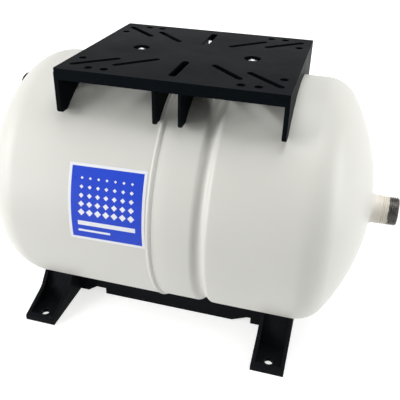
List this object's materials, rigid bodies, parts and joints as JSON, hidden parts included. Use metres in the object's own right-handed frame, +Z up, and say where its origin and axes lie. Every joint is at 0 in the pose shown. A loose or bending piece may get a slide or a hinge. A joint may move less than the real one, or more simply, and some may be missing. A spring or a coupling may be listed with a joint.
{
  "type": "well pressure tank",
  "caption": "Horizontal steel diaphragm tank for a domestic water pump, with a slotted plastic pump platform on top and a plastic base with feet below.",
  "frame": {"origin": "on the floor, in the middle of the four foot holes", "axes": "+X along the tank towards the water connection, +Y to the back away from the label, +Z up from the floor"},
  "size_m": [0.4669, 0.282, 0.3405],
  "materials": {
    "shell_paint": "satin powder coat over steel",
    "plain_steel": "plain rolled steel",
    "butyl_rubber": "moulded, matt",
    "liner_plastic": "moulded polypropylene",
    "stainless_steel": "turned",
    "seal_rubber": "smooth",
    "valve_brass": "turned",
    "cover_plastic": "moulded, matt",
    "label_film": "printed film",
    "platform_plastic": "moulded, fine texture",
    "base_plastic": "moulded, satin",
    "zinc_steel": "zinc plated"
  },
  "bodies": {
    "root": {"air_side_shell": "shell_paint", "water_side_shell": "shell_paint", "seam_weld": "shell_paint", "connection_weld": "shell_paint", "clench_ring": "plain_steel", "diaphragm": "butyl_rubber", "water_liner": "liner_plastic", "water_connection": "stainless_steel", "connection_seal": "seal_rubber", "air_valve_body": "valve_brass", "air_valve_core": "valve_brass", "valve_gasket": "seal_rubber", "valve_nut": "valve_brass", "valve_seal_cap": "valve_brass", "valve_cap_ring": "seal_rubber", "valve_cover": "cover_plastic", "front_label": "label_film", "pump_platform": "platform_plastic", "platform_studs": "zinc_steel", "platform_washers": "zinc_steel", "platform_nuts": "zinc_steel", "base": "base_plastic", "base_studs": "zinc_steel", "base_washers": "zinc_steel", "base_nuts": "zinc_steel"}
  },
  "joints": []
}
